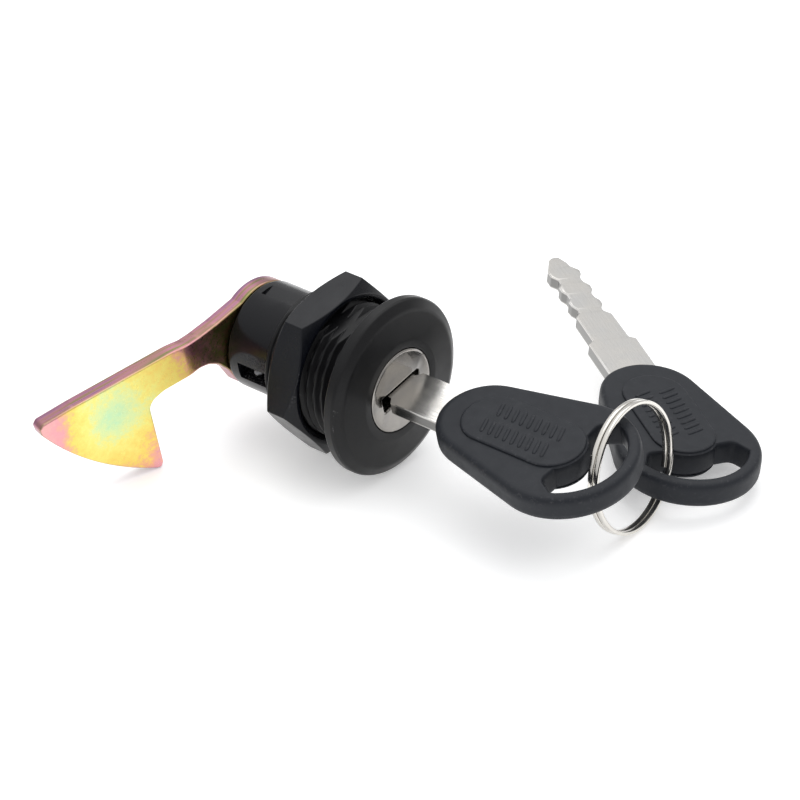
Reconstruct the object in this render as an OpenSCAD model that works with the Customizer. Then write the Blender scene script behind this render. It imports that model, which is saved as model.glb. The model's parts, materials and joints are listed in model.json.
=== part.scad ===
// Hook cam lock: threaded barrel with a round flange, hex nut, keyed plug with
// spring wafers, hook cam bolted on the back, and two keys on a split ring.
// The lock axis is Y, the flange's seat face is y = 0, the face looks to -Y.

/* [Barrel] */
// radius of the round flange
flange_r = 14.57; // [13:0.01:16]
// thickness of the flange's straight rim
rim_t = 1.9; // [1.5:0.1:3]
// how far the plug's face stands in front of the panel seat
face_y = 3.4; // [3:0.1:5]
// radius over the thread crests, an M22 thread
thread_r = 11; // [10:0.1:12]
// pitch of the thread
pitch = 1.5; // [1:0.25:2]
// depth of the thread
thread_depth = 0.75; // [0.5:0.05:0.9]
// end of the threaded length behind the seat
thread_end = 15.9; // [12:0.1:20]
// distance between the two flats of the barrel
across_flats = 20.4; // [20.2:0.1:22]
// turn of the flats about the lock axis
flats_turn = 13; // [0:1:90]
// radius of the plain rear barrel
rear_r = 8.86; // [8.5:0.01:9.5]
// rear end of the barrel
barrel_end = 25.2; // [22:0.1:30]

/* [Nut] */
// corner radius of the hexagon nut
nut_corner_r = 14.6; // [14:0.1:16]
// thickness of the nut
nut_t = 6; // [4:0.1:8]
// front face of the nut behind the seat
nut_y = 7.15; // [1:0.05:9]
// turn of the nut's corners about the lock axis
nut_turn = 40; // [0:1:60]

/* [Plug] */
// radius of the plug's face
face_r = 6.9; // [6:0.05:8]
// radius of the plug's body
plug_r = 6.4; // [6:0.05:7]
// roll of the keyway about the lock axis
key_roll = 11; // [0:1:45]
// width of the keyway slot
keyway_w = 2.5; // [2:0.1:3]
// length of the keyway slot
keyway_h = 8.6; // [8:0.1:9]

/* [Cam] */
// thickness of the hook plate
cam_t = 2.6; // [2:0.1:3.5]
// radius of the round end of the hook
cam_end_r = 8.7; // [8:0.1:10]
// distance of the hook's bend line from the lock axis
bend_at = 16; // [14:0.1:18]
// angle that the hook's outer part is bent back by
bend_angle = 15; // [0:1:30]

/* [Keys] */
// thickness of the key blades
blade_t = 2.2; // [1.8:0.1:2.4]
// radius of the narrow end of the key head
head_r1 = 8.1; // [7:0.1:10]
// radius of the wide end of the key head
head_r2 = 11.5; // [10:0.1:14]
// distance between the two end centres of the key head
head_d = 15; // [12:0.1:18]
// thickness of the key head
head_t = 5; // [4:0.1:6]
// mean radius of the split ring
ring_r = 10.1; // [9:0.1:13]
// width of one turn of the split ring
wire_w = 1; // [0.8:0.1:1.4]

/* [Hidden] */
gap = 0.08;
cam_y = barrel_end + 0.2;
belly_at = [3.55, 29.03];
belly_r = 45.13;
slot_n = 6;
wafer_y = 4.6;
wafer_gap = 2;
key1_y = -20.8;
key2_at = [32.2, -27, -8.7];
key2_yaw = -120.4;
key2_pitch = 4;
key2_roll = -5;
ring_at = [9.8, -40.4, -4.4];
ring_yaw = 4.34;
ring_lean = -7.35;
black = [0.05, 0.05, 0.055];
nickel = [0.68, 0.67, 0.64];
zinc = [0.85, 0.75, 0.3];
plastic = [0.09, 0.1, 0.12];
steel = [0.6, 0.6, 0.6];
brass = [0.75, 0.62, 0.33];

// a turned solid about the lock axis: profile points are [radius, y]
module turned(points) {
    rotate([90, 0, 0]) mirror([0, 0, 1]) rotate_extrude($fn = 120) polygon(points);
}

// a rod along +Y from y0 to y1
module rod(r, y0, y1) {
    translate([0, y0, 0]) rotate([-90, 0, 0]) cylinder(r = r, h = y1 - y0, $fn = 120);
}

// everything inside turns with the keyway
module keyed() {
    rotate([0, -key_roll, 0]) children();
}

// zigzag of thread crests from the seat backwards
function thread_points() = [for (i = [0 : 9]) for (s = [0 : 2])
    s == 0 ? [thread_r - thread_depth, 0.9 + i * pitch]
    : s == 1 ? [thread_r, 0.9 + i * pitch + 0.62]
    : [thread_r, 0.9 + i * pitch + 0.88]];

module housing() {
    color(black) difference() {
        union() {
            turned(concat(
                [[0, 0], [0, -face_y + 0.2], [face_r + 1.4, -face_y + 0.2],
                 [flange_r - 1.6, -rim_t - 0.75], [flange_r - 0.25, -rim_t],
                 [flange_r, -rim_t + 0.35], [flange_r, -0.3], [flange_r - 0.3, 0]],
                [[thread_r + 0.15, 0], [thread_r + 0.15, -0.25],
                 [thread_r - thread_depth, -0.25]],
                thread_points(),
                [[thread_r - thread_depth, thread_end], [rear_r, thread_end], [0, thread_end]]));
            turned([[0, thread_end - 0.1], [rear_r, thread_end - 0.1],
                    [rear_r, barrel_end - 0.4], [rear_r - 0.4, barrel_end], [0, barrel_end]]);
        }
        rod(face_r + gap, -face_y - 1, -1);
        rod(plug_r + gap, -2, barrel_end + 1);
        for (side = [0, 180]) rotate([0, -flats_turn + side, 0])
            translate([-15, 0.05, across_flats / 2]) cube([30, thread_end + 0.1, 5]);
        // wafer channels beside the bore
        keyed() for (side = [-1, 1])
            translate([side * 6.4 - 1.4, 3.8, -2.8]) cube([2.8, 12, 5.6]);
        // rectangular window on the side of the rear barrel
        rotate([0, -103, 0]) translate([-1.55, 17, 7.3]) cube([3.1, 6, 4]);
        // long step along the top of the rear barrel
        rotate([0, -12, 0]) translate([0, thread_end + 0.2, rear_r - 0.45]) cube([3.2, 7.6, 2]);
        rotate([0, -103, 0]) translate([0, 20, 0]) cylinder(r = 0.8, h = 12, $fn = 40);
    }
}

module stop_pin() {
    color(steel) rotate([0, -103, 0]) translate([0, 20, 5.75]) {
        cylinder(r = 0.8, h = 1.9, $fn = 40);
        translate([0, 0, 1.9]) cylinder(r1 = 0.8, r2 = 0.4, h = 0.4, $fn = 40);
    }
}

module hex_nut() {
    bevel = nut_corner_r * (1 - cos(30)) * tan(30) + 0.15;
    color(black) difference() {
        intersection() {
            translate([0, nut_y, 0]) rotate([-90, 0, 0]) rotate([0, 0, 30 - nut_turn])
                cylinder(r = nut_corner_r, h = nut_t, $fn = 6);
            turned([[0, nut_y], [nut_corner_r * cos(30) - 0.25, nut_y],
                    [nut_corner_r + 0.02, nut_y + bevel],
                    [nut_corner_r + 0.02, nut_y + nut_t - bevel],
                    [nut_corner_r * cos(30) - 0.25, nut_y + nut_t], [0, nut_y + nut_t]]);
        }
        rod(thread_r + 0.06, nut_y - 1, nut_y + nut_t + 1);
        turned([[0, nut_y - 0.1], [thread_r + 0.96, nut_y - 0.1], [thread_r + 0.06, nut_y + 0.8],
                [0, nut_y + 0.8]]);
    }
}

module keyway(y0, y1) {
    keyed() translate([-keyway_h / 2, y0, -keyway_w / 2]) cube([keyway_h, y1 - y0, keyway_w]);
}

module plug() {
    color(nickel) difference() {
        union() {
            rod(face_r, -face_y + 0.6, -1.1);
            rod(plug_r, -1.2, cam_y);
            keyed() translate([-3.5, cam_y - 0.1, -3.5]) cube([7, cam_t - 0.1, 7]);
        }
        keyway(-face_y - 1, 21.8);
        rod(2.5, 22.6, cam_y + cam_t + 1);
        keyed() for (i = [0 : slot_n - 1])
            translate([-8, wafer_y + i * wafer_gap - 0.55, -2.6]) cube([16, 1.1, 5.2]);
        // pocket for each wafer's ear and its spring
        for (i = [0 : slot_n - 1]) at_wafer(i) translate([-1.7, -0.5, 2.5]) cube([4.2, 1, 1.1]);
        // arc groove that the stop pin runs in
        difference() {
            rod(plug_r + 1, 19, 21);
            rod(5.6, 18, 22);
            for (turn = [67, 0, -90, -93]) rotate([0, turn, 0])
                translate([0, 18, 0]) cube([12, 4, 12]);
        }
    }
}

module face_cap() {
    color(nickel) difference() {
        turned([[0, -face_y + 0.6], [0, -face_y], [face_r - 0.45, -face_y],
                [face_r, -face_y + 0.4], [face_r, -face_y + 0.6]]);
        keyway(-face_y - 1, 0);
    }
}

// every second wafer is turned round, so the wafers lock on both sides of the bore
module at_wafer(i) {
    keyed() translate([0, wafer_y + i * wafer_gap, 0]) rotate([0, (i % 2) * 180, 0]) children();
}

// a flat plate with a window for the key and an ear that its spring pushes on
module wafer(i) {
    color(brass) at_wafer(i) difference() {
        union() {
            intersection() {
                translate([-7, -0.5, -2.5]) cube([14, 1, 5]);
                rod(plug_r - 0.1, -2, 2);
            }
            translate([0.6, -0.4, 2.4]) cube([0.8, 0.8, 1.05]);
        }
        translate([-3.6, -1, -1.3]) cube([7.2, 2, 2.6]);
    }
}

// coil spring beside each wafer, drawn as its outer sleeve
module spring(i) {
    color(steel) at_wafer(i) translate([-1.62, 0, 3.05]) rotate([0, 90, 0])
        cylinder(r = 0.35, h = 2.2, $fn = 32);
}

module wafer_1() { wafer(0); }
module wafer_2() { wafer(1); }
module wafer_3() { wafer(2); }
module wafer_4() { wafer(3); }
module wafer_5() { wafer(4); }
module wafer_6() { wafer(5); }

module spring_1() { spring(0); }
module spring_2() { spring(1); }
module spring_3() { spring(2); }
module spring_4() { spring(3); }
module spring_5() { spring(4); }
module spring_6() { spring(5); }

// flat outline of the hook's arm and tooth: x runs outwards along the arm, y is across it
function arm_points() = concat(
    [[0, -4], [0, 8.4], [9, 8.2], [13, 8.45], [16, 9.05], [18.5, 9.2], [37, 9.2], [42.2, 9.05],
     [42.9, 8.75], [43.2, 8.2]],
    [for (turn = [-29 : -3.15 : -60.6]) belly_at + belly_r * [cos(turn), sin(turn)]],
    [[25.3, -10.4], [24.8, -10.1], [24.5, -9.3], [24.5, 0.6], [24.2, 2.2], [23.2, 2.95],
     [21.4, 3.15], [14.6, 3.2], [12.4, 2.5], [10.4, 1], [8.6, -1.6], [7.4, -4]]);

// the same outline seen along the lock axis, where the bent part looks shorter
module arm_outline() {
    polygon([for (p = arm_points())
        [p[0] < bend_at ? p[0] : bend_at + (p[0] - bend_at) * cos(bend_angle), p[1]]]);
}

// side profile of the bent plate, wide enough to hold the whole arm
module arm_side() {
    reach = 40;
    run = [reach * cos(bend_angle), reach * sin(bend_angle)];
    back = cam_t * [-tan(bend_angle / 2), 1];
    normal = cam_t * [-sin(bend_angle), cos(bend_angle)];
    polygon([[-5, 0], [bend_at, 0], [bend_at, 0] + run, [bend_at, 0] + run + normal,
             [bend_at, 0] + back, [-5, cam_t]]);
}

module cam() {
    color(zinc) difference() {
        union() {
            rod(cam_end_r, cam_y, cam_y + cam_t);
            keyed() translate([0, cam_y, 0]) mirror([1, 0, 0]) intersection() {
                translate([0, 15, 0]) rotate([90, 0, 0]) linear_extrude(height = 20) arm_outline();
                translate([0, 0, -20]) linear_extrude(height = 40) arm_side();
            }
        }
        keyed() translate([-3.55, cam_y - 6, -3.55]) cube([7.1, 12, 7.1]);
    }
}

module lock_washer() {
    color(steel) difference() {
        rod(5.6, cam_y + cam_t, cam_y + cam_t + 0.8);
        rod(2.65, cam_y, cam_y + cam_t + 2);
    }
}

module cam_bolt() {
    head_y = cam_y + cam_t + 0.8;
    color(steel) union() {
        rod(2.45, 22.8, head_y + 0.1);
        intersection() {
            translate([0, head_y, 0]) rotate([-90, 0, 0]) cylinder(r = 4.62, h = 3.2, $fn = 6);
            turned([[0, head_y], [4.7, head_y], [4.7, head_y + 2.8], [4, head_y + 3.2],
                    [0, head_y + 3.2]]);
        }
    }
}

// blade outline: x runs from the blade towards the head centre, y is its width
module blade_outline() {
    polygon([[-6, -4.1], [-16.2, -4.1], [-16.9, -3.1], [-24.2, -3.1],
             [-25.2, -2.2], [-26.3, -2.1], [-27.4, -2.6], [-28.7, -2.7], [-29.6, -2.1],
             [-30.9, -2.1], [-32, -2.6], [-33.2, -2.6], [-34.2, -1.9], [-35.5, -1.9],
             [-36.6, -2.7], [-38.2, -2.7], [-41.4, -1.3], [-42, -0.6], [-42, 0.6],
             [-40.2, 1.4], [-39, 1.6], [-37.6, 2.7], [-36.4, 2.5], [-35.4, 1.9],
             [-34, 2], [-32.8, 2.7], [-31.6, 2.6], [-30.6, 2], [-29.2, 2.1],
             [-28.2, 2.6], [-27, 2.6], [-26, 1.9], [-25, 2], [-23.9, 2.95],
             [-16.9, 3.1], [-16.2, 4.1], [-6, 4.1]]);
}

module blade() {
    translate([0, 0, -blade_t / 2]) linear_extrude(height = blade_t) blade_outline();
}

// head outline made of two circles and their tangent sides
module head_outline(inset) {
    b = asin((head_r2 - head_r1) / head_d);
    r1 = head_r1 - inset;
    r2 = head_r2 - inset;
    circle(r = r1, $fn = 120);
    translate([head_d, 0]) circle(r = r2, $fn = 120);
    polygon([[-r1 * sin(b), r1 * cos(b)], [head_d - r2 * sin(b), r2 * cos(b)],
             [head_d - r2 * sin(b), -r2 * cos(b)], [-r1 * sin(b), -r1 * cos(b)]]);
}

// kidney slot for the ring between the pad's round end and the rim
module ring_slot() {
    difference() {
        intersection() {
            translate([head_d, 0]) circle(r = 9.3, $fn = 120);
            translate([16, -12]) square([12, 24]);
        }
        translate([12.4, 0]) circle(r = 5.6, $fn = 120);
    }
}

module head() {
    difference() {
        union() {
            translate([0, 0, -1.5]) linear_extrude(height = 3) head_outline(0);
            translate([0, 0, -2]) linear_extrude(height = 4) head_outline(0.35);
            translate([0, 0, -2.3]) linear_extrude(height = 4.6) head_outline(1);
            // raised pad on both faces
            translate([0, 0, -head_t / 2]) linear_extrude(height = head_t) {
                translate([1.3, 0]) circle(r = 5.2, $fn = 120);
                translate([12.6, 0]) circle(r = 5.2, $fn = 120);
                translate([1.3, -5.2]) square([11.3, 10.4]);
            }
        }
        translate([0, 0, -5]) linear_extrude(height = 10) ring_slot();
        // pocket that the blade's root is moulded into
        translate([0, 0, -blade_t / 2]) linear_extrude(height = blade_t)
            translate([-12, -4.1]) square([6, 8.2]);
    }
}

// key 1 sits in the keyway with its head in front of the lock
module at_key_1() {
    translate([0, key1_y, 0]) keyed() rotate([0, 0, -90]) children();
}

// key 2 lies beside the lock
module at_key_2() {
    translate(key2_at) rotate([0, 0, key2_yaw]) rotate([0, key2_pitch, 0])
        rotate([key2_roll, 0, 0]) children();
}

module key_1_blade() { color(nickel) at_key_1() blade(); }
module key_1_head() { color(plastic) at_key_1() head(); }
module key_2_blade() { color(nickel) at_key_2() blade(); }
module key_2_head() { color(plastic) at_key_2() head(); }

// two flat turns of spring wire side by side, joined where the wire steps across
module split_ring() {
    color(nickel) translate(ring_at) rotate([0, 0, ring_yaw]) rotate([ring_lean, 0, 0]) {
        for (side = [-1, 1]) difference() {
            rod(ring_r + 0.5, side * 0.54 - wire_w / 2, side * 0.54 + wire_w / 2);
            rod(ring_r - 0.5, -2, 2);
        }
        rotate([0, 40, 0]) translate([ring_r - 0.4, -0.6, -0.8]) cube([0.8, 1.2, 1.6]);
    }
}

housing();
stop_pin();
hex_nut();
plug();
face_cap();
wafer_1();
wafer_2();
wafer_3();
wafer_4();
wafer_5();
wafer_6();
spring_1();
spring_2();
spring_3();
spring_4();
spring_5();
spring_6();
cam();
lock_washer();
cam_bolt();
key_1_blade();
key_1_head();
key_2_blade();
key_2_head();
split_ring();
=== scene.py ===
# %% [markdown]
# # A hook cam lock, its nut and two keys on a ring
# A cam lock closes a cabinet or a locker door. A round barrel passes through the panel, and a big
# hexagon nut clamps it there. The key turns the plug inside it, and the plug swings a hook plate
# behind the panel.
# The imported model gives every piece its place, in metres, with the lock's axis along Y and its face
# towards -Y. Here each visible piece is rebuilt with finer edges, and every surface gets its finish.

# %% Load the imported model
import json
from math import atan2, cos, pi, radians, sin, tan

import bmesh
import bpy
from mathutils import Matrix, Vector

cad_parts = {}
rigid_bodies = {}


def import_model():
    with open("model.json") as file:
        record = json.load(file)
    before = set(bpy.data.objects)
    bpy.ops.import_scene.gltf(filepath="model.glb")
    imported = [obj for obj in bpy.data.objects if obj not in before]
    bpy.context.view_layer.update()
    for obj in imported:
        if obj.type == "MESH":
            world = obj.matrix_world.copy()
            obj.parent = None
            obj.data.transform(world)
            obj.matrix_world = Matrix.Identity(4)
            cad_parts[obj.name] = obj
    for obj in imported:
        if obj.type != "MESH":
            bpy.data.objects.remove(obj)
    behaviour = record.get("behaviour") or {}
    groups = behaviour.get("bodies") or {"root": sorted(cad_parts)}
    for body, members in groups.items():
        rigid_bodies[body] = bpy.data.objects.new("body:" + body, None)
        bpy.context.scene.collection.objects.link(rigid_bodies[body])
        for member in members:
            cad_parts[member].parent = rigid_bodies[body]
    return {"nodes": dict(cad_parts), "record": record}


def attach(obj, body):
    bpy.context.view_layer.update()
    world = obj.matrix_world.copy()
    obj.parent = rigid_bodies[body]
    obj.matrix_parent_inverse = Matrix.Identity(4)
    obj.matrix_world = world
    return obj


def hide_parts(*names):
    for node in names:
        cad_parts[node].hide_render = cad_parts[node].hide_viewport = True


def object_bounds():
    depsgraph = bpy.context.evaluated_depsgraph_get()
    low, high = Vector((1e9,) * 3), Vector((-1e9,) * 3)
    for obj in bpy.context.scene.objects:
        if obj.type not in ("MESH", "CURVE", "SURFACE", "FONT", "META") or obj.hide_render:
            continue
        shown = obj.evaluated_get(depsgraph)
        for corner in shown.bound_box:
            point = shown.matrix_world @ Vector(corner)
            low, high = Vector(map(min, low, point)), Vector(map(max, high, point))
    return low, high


for leftover in list(bpy.data.objects):
    bpy.data.objects.remove(leftover)
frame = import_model()
cad_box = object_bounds()
MM = 0.001
print("nodes:", len(frame["nodes"]))

# %% [markdown]
# ## The camera
# The view is from the front left and above, at about 31 degrees, with a long lens so that the round
# parts keep their shape. The camera is set first, because everything after it is judged through it.

# %% Camera
VIEW_TURN, VIEW_HEIGHT, VIEW_ROLL = radians(-48.22), radians(31.29), radians(-2.06)
VIEW_TARGET, VIEW_DISTANCE = Vector((0, 1.2, 0)) * MM, 0.6
back = Vector((sin(VIEW_TURN) * cos(VIEW_HEIGHT), -cos(VIEW_TURN) * cos(VIEW_HEIGHT), sin(VIEW_HEIGHT)))
side = Vector((cos(VIEW_TURN), sin(VIEW_TURN), 0))
lift = back.cross(side)
cam_x = cos(VIEW_ROLL) * side + sin(VIEW_ROLL) * lift
cam_y = -sin(VIEW_ROLL) * side + cos(VIEW_ROLL) * lift
camera = bpy.data.objects.new("camera", bpy.data.cameras.new("camera"))
bpy.context.scene.collection.objects.link(camera)
camera.matrix_world = (Matrix.Translation(VIEW_TARGET + back * VIEW_DISTANCE)
                       @ Matrix((cam_x, cam_y, back)).transposed().to_4x4())
camera.data.lens = 174.15
camera.data.shift_x = 0.0258
camera.data.shift_y = -0.0235
camera.data.clip_start = 0.01
bpy.context.scene.camera = camera
print("camera at", [round(c, 3) for c in camera.matrix_world.translation])

# %% [markdown]
# ## Small tools for mesh pieces
# Nearly every metal piece here is either turned on a lathe or stamped from plate, so two helpers make
# most of the meshes. Both take corners with a fillet radius, because a real edge is never a sharp line:
# the light that a 0.2 mm round catches is what makes a part look machined.

# %% Rounded corner lists
def rounded(corners, steps=5):
    """Points of a closed outline whose corners are (x, y, fillet radius)."""
    points = []
    for i, (x, y, radius) in enumerate(corners):
        here = Vector((x, y))
        to_last = Vector(corners[i - 1][:2]) - here
        to_next = Vector(corners[(i + 1) % len(corners)][:2]) - here
        half = to_last.angle(to_next) / 2
        reach = min(radius / tan(half), 0.48 * to_last.length, 0.48 * to_next.length)
        if radius <= 0 or reach < 1e-4 or half > radians(89.5):
            points.append((x, y))
            continue
        to_last.normalize()
        to_next.normalize()
        centre = here + (to_last + to_next).normalized() * (reach / cos(half))
        start = here + to_last * reach - centre
        stop = here + to_next * reach - centre
        sweep = start.angle(stop)
        for s in range(steps + 1):
            a, b = sin((1 - s / steps) * sweep), sin(s / steps * sweep)
            points.append(tuple(centre + (start * a + stop * b) / sin(sweep)))
    return points


def arc(cx, cy, radius, start, stop, count):
    """Points along a circle from one angle to another, in degrees."""
    angles = [radians(start + (stop - start) * k / (count - 1)) for k in range(count)]
    return [(cx + radius * cos(a), cy + radius * sin(a)) for a in angles]


# %% Turning a mesh into an object
WELD = 1e-7


def close_mesh(mesh, bm, sharp):
    """Welds the seams, turns the faces outwards and smooths all but edges sharper than the angle."""
    bmesh.ops.remove_doubles(bm, verts=bm.verts, dist=WELD)
    bmesh.ops.recalc_face_normals(bm, faces=bm.faces)
    bm.to_mesh(mesh)
    bm.free()
    mesh.shade_smooth()
    mesh.set_sharp_from_angle(angle=radians(sharp))


def as_object(name, bm, sharp=30):
    """Links a finished mesh to the scene."""
    mesh = bpy.data.meshes.new(name)
    close_mesh(mesh, bm, sharp)
    ob = bpy.data.objects.new(name, mesh)
    bpy.context.scene.collection.objects.link(ob)
    print(name, len(mesh.polygons), "faces")
    return ob


def settle(ob, sharp=30):
    """Makes what the modifiers show the object's own plain mesh."""
    shown = ob.evaluated_get(bpy.context.evaluated_depsgraph_get())
    mesh = bpy.data.meshes.new_from_object(shown)
    ob.modifiers.clear()
    ob.data = mesh
    bm = bmesh.new()
    bm.from_mesh(mesh)
    close_mesh(mesh, bm, sharp)


def flat_shade(ob):
    """Keeps broad faces looking flat beside their rounded edges."""
    ob.modifiers.new("even shading", "WEIGHTED_NORMAL").keep_sharp = True


def soften(ob, width, angle=30):
    """Breaks the sharp edges with a small round."""
    bevel = ob.modifiers.new("edge break", "BEVEL")
    bevel.width = width * MM
    bevel.segments = 3
    bevel.limit_method = "ANGLE"
    bevel.angle_limit = radians(angle)
    bevel.use_clamp_overlap = True
    flat_shade(ob)


# %% A lathe
def on_axis(radius, y, turn):
    """A point on a circle about the lock axis; turn is from +Z towards +X."""
    return Vector((radius * sin(turn), y, radius * cos(turn))) * MM


def revolve(name, profile_at, count, sharp=30):
    """Sweeps a closed profile about the lock axis; profile_at(turn) gives its (radius, y) points."""
    bm = bmesh.new()
    rings = []
    for k in range(count):
        turn = 2 * pi * k / count
        rings.append([bm.verts.new(on_axis(r, y, turn)) for r, y in profile_at(turn)])
    for k in range(count):
        ring, nxt = rings[k], rings[(k + 1) % count]
        for j in range(len(ring)):
            i = (j + 1) % len(ring)
            bm.faces.new((ring[j], ring[i], nxt[i], nxt[j]))
    return as_object(name, bm, sharp)


def lathe(name, corners, count=160):
    """A turned piece whose profile corners are (radius, y, fillet radius)."""
    profile = rounded(corners)
    ob = revolve(name, lambda turn: profile, count)
    flat_shade(ob)
    return ob


# %% A stamped plate
def inset_loop(points, inset):
    """Moves a closed loop towards its left-hand side, which is where the material is."""
    moved = []
    for i, point in enumerate(points):
        before = (Vector(point) - Vector(points[i - 1])).normalized()
        after = (Vector(points[(i + 1) % len(points)]) - Vector(point)).normalized()
        normal = Vector((-before.y - after.y, before.x + after.x)).normalized()
        across = max(normal.dot(Vector((-after.y, after.x))), 0.5)
        moved.append(Vector(point) + normal * (inset / across))
    return moved


def winding(points):
    """Twice the loop's area: positive when it runs anticlockwise."""
    return sum(a[0] * b[1] - b[0] * a[1] for a, b in zip(points, points[1:] + points[:1]))


def plate(name, outline, layers, place, holes=(), bend=None, slices=(), hole_edge=1.0):
    """A flat piece: loops of the outline at layers of (inset, height), closed at both ends.
    hole_edge scales the inset round holes. The piece's own flat coordinates, in millimetres, are
    kept on it for its finish."""
    loops = [outline if winding(outline) > 0 else outline[::-1]]
    loops += [hole if winding(hole) < 0 else hole[::-1] for hole in holes]
    bm = bmesh.new()
    caps = {0: [], len(layers) - 1: []}
    for loop in loops:
        below = None
        share = 1.0 if loop is loops[0] else hole_edge
        for k, (inset, height) in enumerate(layers):
            ring = [bm.verts.new((p.x, p.y, height)) for p in inset_loop(loop, inset * share)]
            pairs = list(zip(ring, ring[1:] + ring[:1]))
            if below:
                for (a, b), (c, d) in zip(below, pairs):
                    bm.faces.new((a, b, d, c))
            if k in caps:
                caps[k] += [bm.edges.get(pair) or bm.edges.new(pair) for pair in pairs]
            below = pairs
    for edges in caps.values():
        bmesh.ops.triangle_fill(bm, use_beauty=True, use_dissolve=False, edges=edges)
    for x in slices:
        bmesh.ops.bisect_plane(bm, geom=bm.verts[:] + bm.edges[:] + bm.faces[:],
                               plane_co=(x, 0, 0), plane_no=(1, 0, 0), dist=1e-5)
    own = bm.verts.layers.float_vector.new("flat")
    for v in bm.verts:
        v[own] = v.co
        if bend:
            v.co = bend(v.co)
    bm.transform(place @ Matrix.Scale(MM, 4))
    ob = as_object(name, bm)
    flat_shade(ob)
    return ob


def rim(thickness, edge, steps=4):
    """Layers of a plate with fully rounded edges of that radius."""
    half = thickness / 2 - edge
    turns = [pi / 2 * k / steps for k in range(steps + 1)]
    top = [(edge * (1 - cos(a)), half + edge * sin(a)) for a in turns]
    return [(i, -z) for i, z in reversed(top)] + top


# %% [markdown]
# ## Small tools for node trees
# Materials and Geometry Nodes are both trees of nodes. One helper adds a node and fills its sockets
# with a number or with a link, which keeps each tree readable from top to bottom.

# %% Node helpers
def node(tree, kind, inputs=None, **settings):
    made = tree.nodes.new(kind)
    for key, value in settings.items():
        setattr(made, key, value)
    for key, value in (inputs or {}).items():
        if isinstance(value, bpy.types.NodeSocket):
            tree.links.new(value, made.inputs[key])
        else:
            made.inputs[key].default_value = value
    return made


def calc(tree, operation, *values, clamp=False):
    made = node(tree, "ShaderNodeMath", dict(enumerate(values)), operation=operation)
    made.use_clamp = clamp
    return made.outputs[0]


# %% Opening and closing a Geometry Nodes tree
def open_tree(name, inputs):
    """A new tree with a named input for each size; returns it and its input sockets."""
    tree = bpy.data.node_groups.new(name, "GeometryNodeTree")
    kinds = {bpy.types.Material: "NodeSocketMaterial", int: "NodeSocketInt"}
    for title, value in inputs.items():
        tree.interface.new_socket(title, in_out="INPUT",
                                  socket_type=kinds.get(type(value), "NodeSocketFloat"))
    tree.interface.new_socket("Geometry", in_out="OUTPUT", socket_type="NodeSocketGeometry")
    return tree, tree.nodes.new("NodeGroupInput").outputs


def close_tree(tree, shape, material):
    real = node(tree, "GeometryNodeRealizeInstances", {"Geometry": shape}).outputs[0]
    done = node(tree, "GeometryNodeSetMaterial", {"Geometry": real, "Material": material})
    tree.links.new(done.outputs[0], tree.nodes.new("NodeGroupOutput").inputs[0])
    return tree


# %% A finish to start from
def finish(name, color, metallic, roughness, own=False, shine=0.5):
    """A principled material with millimetre coordinates: the row's own, or the plate's flat ones."""
    mat = bpy.data.materials.new(name)
    mat.use_nodes = True
    tree = mat.node_tree
    bsdf = tree.nodes["Principled BSDF"]
    bsdf.inputs["Base Color"].default_value = (*color, 1)
    bsdf.inputs["Metallic"].default_value = metallic
    bsdf.inputs["Roughness"].default_value = roughness
    bsdf.inputs["Specular IOR Level"].default_value = shine
    if own:
        where = node(tree, "ShaderNodeAttribute", attribute_name="flat").outputs["Vector"]
    else:
        where = node(tree, "ShaderNodeVectorMath",
                     {0: node(tree, "ShaderNodeTexCoord").outputs["Object"], "Scale": 1 / MM},
                     operation="SCALE").outputs[0]
    print("finish:", name)
    return mat, tree, bsdf, where


def noise(tree, where, scale, detail=3.0, stretch=(1, 1, 1), rough=0.5):
    mapped = node(tree, "ShaderNodeMapping", {"Vector": where, "Scale": stretch}).outputs[0]
    return node(tree, "ShaderNodeTexNoise", {"Vector": mapped, "Scale": scale, "Detail": detail,
                                             "Roughness": rough}).outputs["Fac"]


def ramp(tree, factor, stops):
    made = node(tree, "ShaderNodeValToRGB", {"Fac": factor})
    slots = made.color_ramp.elements
    while len(slots) < len(stops):
        slots.new(0.5)
    for slot, (place, color) in zip(slots, stops):
        slot.position = place
        slot.color = (*color, 1)
    return made.outputs["Color"]


def spread(tree, factor, low, high, start=0.3, stop=0.7):
    """Maps a pattern's middle range to low..high."""
    return node(tree, "ShaderNodeMapRange", {"Value": factor, "From Min": start, "From Max": stop,
                                             "To Min": low, "To Max": high}).outputs[0]


def bump(tree, bsdf, height, strength, distance):
    """Relief from a height pattern; distance is in millimetres."""
    made = node(tree, "ShaderNodeBump", {"Height": height, "Strength": strength,
                                         "Distance": distance * MM})
    tree.links.new(made.outputs[0], bsdf.inputs["Normal"])


def between(tree, value, low, high):
    """1 up to low, falling to 0 at high."""
    return node(tree, "ShaderNodeMapRange", {"Value": value, "From Min": low, "From Max": high,
                                             "To Min": 1.0, "To Max": 0.0}).outputs[0]


def mix(tree, factor, a, b):
    made = node(tree, "ShaderNodeMix", data_type="RGBA")
    for socket, value in zip((made.inputs[0], made.inputs[6], made.inputs[7]), (factor, a, b)):
        if isinstance(value, bpy.types.NodeSocket):
            tree.links.new(value, socket)
        else:
            socket.default_value = value if isinstance(value, float) else (*value, 1)
    return made.outputs[2]


# %% [markdown]
# ## Black finishes
# The barrel is die-cast zinc with a satin black stove enamel. Enamel shrinks as it cures into a very
# fine orange peel. Its outside edges are painted a lighter grey, partly as wear where the metal shows
# through and partly as a painted highlight of the glints that edges catch. The nut has the same black
# in a slightly bluer coat, and the plain rear of the barrel is the glossiest. Pointiness finds the
# outside edges for this wear and painted highlight.

# %% Enamel on the barrel and the nut
WEAR_AND_GLINT_GREY = (0.42, 0.42, 0.42)


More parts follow.
